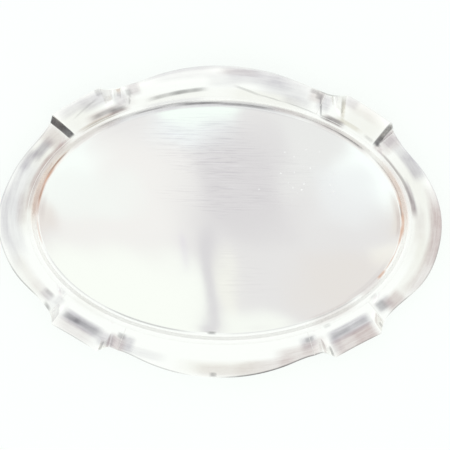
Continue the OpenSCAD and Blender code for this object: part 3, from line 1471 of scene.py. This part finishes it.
# On the lobes, the yellowish, grey and brownish marks are mostly painted reflections, the room's
# tones mirrored in the border; the dark marks are painted shade and painted dark reflections, such
# as the dark band just outside the collar's crest.
LOBE_MARKS = {
    Stain.STRAW: [
        (8, 14, 30, 10, 0.12), (78, 9, 16, 6, 0.12), (104, 9, 16, 5, 0.08),
        (150, 12, 12, 14, 0.15), (172, 8, 20, 7, 0.12), (202, 20, 13, 6, 0.08),
        (272, 23, 16, 6, 0.14), (342, 17, 20, 6, 0.1),
    ],
    Stain.BLOOM: [
        (5, 12, 7, 4, 0.06), (13, 9.5, 10, 2.6, 0.35), (24, 19.5, 7, 5.8, 0.45),
        (31, 19, 6, 5, 0.25), (36, 19, 2.6, 8, 0.34), (68, 11.5, 6, 4.5, 0.22),
        (72, 19, 10, 9, 0.25), (80, 23, 12, 8, 0.3), (101, 24.5, 12, 6, 0.16), (85, 25, 8, 4, 0.2),
        (90, 19, 6, 7, 0.14), (116, 20, 2.4, 6, 0.2), (151.5, 15.6, 6.5, 4.6, 0.46),
        (157.5, 18.5, 5.5, 4, 0.35), (166, 19.5, 15, 3.4, 0.22), (168, 14, 16, 7, 0.22),
        (179, 22.4, 14, 3.6, 0.34), (192, 20.5, 9, 4, 0.12), (184, 16, 14, 7, 0.2),
        (212, 17, 3.4, 4, 0.3), (216, 20, 2.0, 4, 0.1), (215, 8, 1.8, 2.4, 0.2),
        (242.5, 17, 3.4, 7, 0.38), (248, 20, 9, 4, 0.15), (298.5, 14, 3.6, 6, 0.35),
        (327, 15.5, 4.2, 6.0, 0.34),
    ],
    Stain.BRONZE: [
        (12, 8.8, 10, 2.6, 0.3), (27, 8.0, 12, 1.6, 0.25), (1, 13, 9, 5, 0.12),
        (35, 17, 3.6, 11, 0.26), (86, 25, 7, 3, 0.15), (115.5, 20, 2.4, 6, 0.2),
        (146, 14, 4.6, 15, 0.28), (151, 7.6, 9, 2.0, 0.3), (160, 8.0, 12, 2.8, 0.3),
        (169, 6.5, 10, 3.0, 0.42), (176, 11, 9, 5, 0.22), (200, 17, 7, 5, 0.09),
        (209, 17, 6, 5, 0.16), (272, 24.5, 10, 5, 0.2), (285, 24, 11, 6.5, 0.29),
        (294, 20, 8, 8, 0.35), (300, 18, 5, 6.5, 0.28), (330.5, 18.5, 4.8, 7, 0.46),
    ],
    Stain.GRIME: [
        (10, 9.3, 6, 2.0, 0.2), (18, 8.6, 9, 1.3, 0.35), (29, 8.0, 8, 0.9, 0.35),
        (66, 7.9, 7, 0.7, 0.25, 0.15), (76, 9.5, 5, 0.7, 0.25, 0.25),
        (83, 12.5, 5, 1.2, 0.25, 0.65), (100, 11.7, 6.5, 2.0, 0.45, -0.14),
        (107, 10.6, 7, 2.0, 0.35, -0.16), (117.4, 19, 1.2, 3.2, 0.3),
        (151.5, 15.6, 4.5, 2.6, 0.14), (212, 15.0, 2.6, 2.0, 0.2),
        (214.8, 23.0, 2.4, 2.4, 0.45, 0.8, 0, 0.1), (240.5, 13.5, 1.8, 2.6, 0.3),
        (269.3, 27, 1.2, 1.8, 0.45), (299, 12.0, 1.9, 2.4, 0.3), (326, 15, 2.4, 5.0, 0.3),
        (326, 6, 2, 1.6, 0.15),
    ],
}
# On the tabs and pleats, the densest dark marks paint the dark reflections on the pleats' steep
# facets; the yellowish, grey and brownish marks are painted reflections.
TAB_MARKS = {
    Stain.STRAW: [
        (46, 17, 10, 13, 0.12), (50, 10.5, 6, 2.2, 0.25), (54, 18, 0.8, 9, 0.3, 0, 0.2),
        (134, 16, 9, 13, 0.12), (130, 7.2, 9, 2.2, 0.3), (226, 5, 10, 5, 0.06),
    ],
    Stain.BLOOM: [
        (53, 25, 3, 5, 0.22), (60, 17, 3, 8, 0.32), (120.5, 16, 3, 7, 0.28), (128, 22, 6, 7, 0.36),
        (135, 24, 6, 5, 0.25), (227.5, 18.0, 9, 5.4, 0.52, 0, 0, 0.5), (216.5, 15, 2.2, 5, 0.2),
        (228, 25, 9, 4, 0.06), (237, 20, 4, 6, 0.4), (312.6, 16.0, 9.0, 5.4, 0.48, 0, 0, 0.6),
        (306.5, 21, 2.2, 7, 0.2),
    ],
    Stain.BRONZE: [
        (49, 24, 8, 6, 0.12), (36.5, 8.6, 2.4, 2.8, 0.28), (144, 7.6, 4, 2.6, 0.2),
        (63, 19.5, 3, 6.5, 0.28), (55, 7.6, 5, 3.4, 0.36), (119, 13, 4, 6, 0.12),
        (127, 10.9, 8, 4.2, 0.32), (122.5, 7.8, 5, 2.2, 0.36), (131, 7.5, 10, 2.2, 0.22),
        (226, 24, 9, 5, 0.2), (240, 19.5, 3.6, 7, 0.34), (312.4, 23.9, 8.6, 7, 0.44, 0, 0, 0.6),
        (316, 24, 5, 7, 0.32),
    ],
    Stain.GRIME: [
        (38.8, 18.3, 1.15, 11.0, 0.64, 0, 0.05, 0.65), (38.2, 13.5, 1.3, 4.6, 0.45, 0, 0, 0.5),
        (37.4, 10.8, 1.2, 1.6, 0.5), (41.5, 10.0, 2.4, 1.6, 0.2), (306, 7.2, 1.6, 1.8, 0.2),
        (54.6, 7.8, 4.2, 2.9, 0.47), (57.5, 7.0, 2.4, 1.8, 0.4), (62.2, 20, 1.4, 3.4, 0.35),
        (64, 22, 1.8, 2.0, 0.3), (60.5, 13, 0.45, 8, 0.45, 0, 0.2),
        (54.6, 19, 0.5, 9, 0.18, 0, 0.2), (117.9, 14, 0.4, 5, 0.3, 0, -0.17),
        (122.5, 9.2, 3.6, 2.4, 0.4), (126.5, 11.0, 6.5, 2.3, 0.35), (129, 7.0, 8, 1.0, 0.25),
        (125.6, 26, 1.2, 3.6, 0.25), (131.5, 20, 6, 0.9, 0.18, -0.5),
        (141.5, 18.8, 1.45, 12.0, 0.84, 0, 0.07, 0.8), (142.4, 25, 0.9, 4, 0.5),
        (223.5, 18.3, 3.8, 2.6, 0.42), (229, 17.8, 6.5, 2.8, 0.32), (235.9, 24.5, 0.5, 4.0, 0.35),
        (304.3, 24, 0.5, 4.4, 0.4), (309.5, 15.8, 5, 2.4, 0.28), (316.5, 15.6, 4, 2.2, 0.2),
        (321.8, 24.5, 0.5, 2.3, 0.25),
    ],
}
# Along the rim's edge, the dark marks paint a thin outline of shade on the wire; the brownish and
# grey marks are painted reflections.
RIM_MARKS = {
    Stain.BRONZE: [(359, 3.0, 14, 6.5, 0.58), (344, 3, 12, 7, 0.3), (9, 3, 8, 5, 0.22)],
    Stain.GRIME: [
        (190, 0.3, 14, 0.9, 0.25), (203, 0.3, 9, 1.0, 0.4), (226, 0.3, 8, 0.8, 0.3),
        (251, 0.3, 14, 0.9, 0.35), (285, 0.4, 16, 1.0, 0.7), (298, 0.4, 6, 1.0, 0.5),
        (313, 0.3, 9, 0.9, 0.35), (331, 0.3, 8, 0.9, 0.35), (349, 0.3, 14, 0.9, 0.25),
        (60, 0.4, 4, 0.9, 0.3),
    ],
    Stain.BLOOM: [(20, 0.3, 30, 0.9, 0.2), (165, 0.3, 28, 1.0, 0.3), (100, 0.5, 18, 2.4, 0.2)],
}
WELL_MARKS = {
    Stain.SCORED: [
        (100, -30, 26, 30, 0.9), (88, -52, 20, 28, 0.8), (85, -78, 80, 22, 0.5),
        (55, -46, 30, 26, 0.3), (284, -50, 22, 30, 0.2),
    ],
    Stain.SPECKS: [(40, -45, 26, 26, 0.9), (55, -30, 16, 16, 0.8)],
}

SKY = [
    # The pale ceiling that the flat well mirrors.
    SkyPatch(0, -7.5, 17, 12, "FAF9FA", 0.97, hard=0.7),
    SkyPatch(-6.3, -6.6, 5.6, 5.5, "FBFAF9", 1.08, hard=0.35),
    SkyPatch(6.0, -3.4, 3.9, 3.8, "F8F9F9", 1.02, hard=0.3),
    # Its brighter parts.
    SkyPatch(-9.5, -5.1, 3.4, 2.2, "F9FFFD", 1.18, hard=0.45, turn=35),
    SkyPatch(-7.6, -6.4, 3.6, 1.6, "F9FDFB", 1.12, 0.85, hard=0.3),
    SkyPatch(-6.6, -12.3, 7.2, 3.4, "FBFFFA", 1.16, hard=0.6, turn=-4),
    SkyPatch(-2.1, -13.6, 2.2, 4.2, "FBFFFA", 1.16, hard=0.55),
    SkyPatch(-1.7, -1.6, 3.1, 2.2, "F8FDFF", 1.1, 0.95, hard=0.4),
    SkyPatch(-1.4, -0.5, 2.8, 1.9, "F4FEF9", 1.21, 0.95, hard=0.7),
    SkyPatch(9.2, -4.5, 3.0, 2.6, "F8FFFE", 1.23, 0.97, hard=0.55, turn=-25),
    SkyPatch(7.2, -5.8, 2.4, 2.2, "F7FAFC", 1.08, 0.8, hard=0.3),
    SkyPatch(10.6, -9.5, 2.2, 1.1, "FBFAF4", 1.12, 0.9, hard=0.35),
    # Its darker parts, among them the tall narrow upright and the lit slits beside it.
    SkyPatch(1.1, -5.4, 3.0, 3.7, "F1EFF2", 0.94, 0.9, hard=0.45),
    SkyPatch(2.2, -7.8, 3.2, 1.8, "F0EEF1", 0.95, 0.5, hard=0.3),
    SkyPatch(-10.4, -7.7, 1.3, 1.3, "FCF6F2", 0.96, 0.9),
    SkyPatch(10.5, -7.1, 1.0, 1.5, "FCF4EA", 0.95, 0.8),
    SkyPatch(7.6, -11.2, 4.2, 2.6, "FCF6F1", 0.95, 0.6, hard=0.1),
    SkyPatch(0.6, -11.7, 0.7, 3.0, "FCFDF6", 1.1, 0.85, hard=0.3, turn=11),
    SkyPatch(2.4, -14.4, 3.3, 1.8, "FBFFFA", 1.15, 0.95),
    SkyPatch(-0.56, -11.8, 0.46, 4.5, "EBE9EE", 0.94, 0.95, hard=0.6, turn=3),
    SkyPatch(-2.2, -9.6, 0.22, 1.3, "E9E4F0", 1.04, 0.8),
]


def all_marks() -> list[Mark]:
    """Gather every mark of wear, tarnish, painted reflection and painted shade, the rim's measured
    from its edge.

    Returns:
        The marks.
    """
    plain = (SEAM_MARKS, LOBE_MARKS, TAB_MARKS, WELL_MARKS)
    groups = [(group, False) for group in plain] + [(RIM_MARKS, True)]
    return [
        Mark(stain, *values, from_rim=from_rim)
        for group, from_rim in groups
        for stain, rows in group.items()
        for values in rows
    ]


def main() -> None:
    """Build the salver and its studio, and report each piece."""
    logging.basicConfig(level=logging.INFO, format="%(name)s: %(message)s")
    form = SalverForm()
    shop = Workshop(form, PatinaAndPaintedLight(form, all_marks()))
    # Plate under glass-smooth polish mirrors the ceiling; its silver is set a shade darker than the
    # border's as painted shade, matched to the ceiling's brightness.
    well = SilverFinish(
        "polished_silver_well", "EEEEEC", roughness=0.04, uneven=0.02, planish=0.003
    )
    # The fillet is rubbed by every cleaning: duller, with the copper showing through.
    fillet = SilverFinish("silver_fillet_worn_to_copper", roughness=0.2)
    Well(shop, Hand(3, (38, 52, 71, 90), 0.012)).build(well, fillet)
    # The collar's narrow steps are polished less well than the flat sheet.
    collar = SilverFinish("polished_silver_collar", roughness=0.2)
    ring = SolderFinish("silver_solder_ring", "FBFAF8", "F0EFEC", roughness=0.15, relief=0.01)
    Collar(shop).build(collar, ring)
    # The border is hammered to shape and polished: soft, slightly wavy reflections.
    border = SilverFinish("polished_silver_border")
    # Drawn wire keeps a fine grain, so it is a little duller than the sheet.
    wire = SilverFinish("polished_silver_wire", roughness=0.15)
    joint = SolderFinish("silver_solder_joint", "F2F0ED", "D9D6D2", roughness=0.2, relief=0.02)
    Border(shop, Hand(7, (21, 27, 36, 47), 0.03)).build(border, wire, joint)
    Studio(patches=SKY).build()
    bpy.context.view_layer.update()


if __name__ == "__main__":
    main()
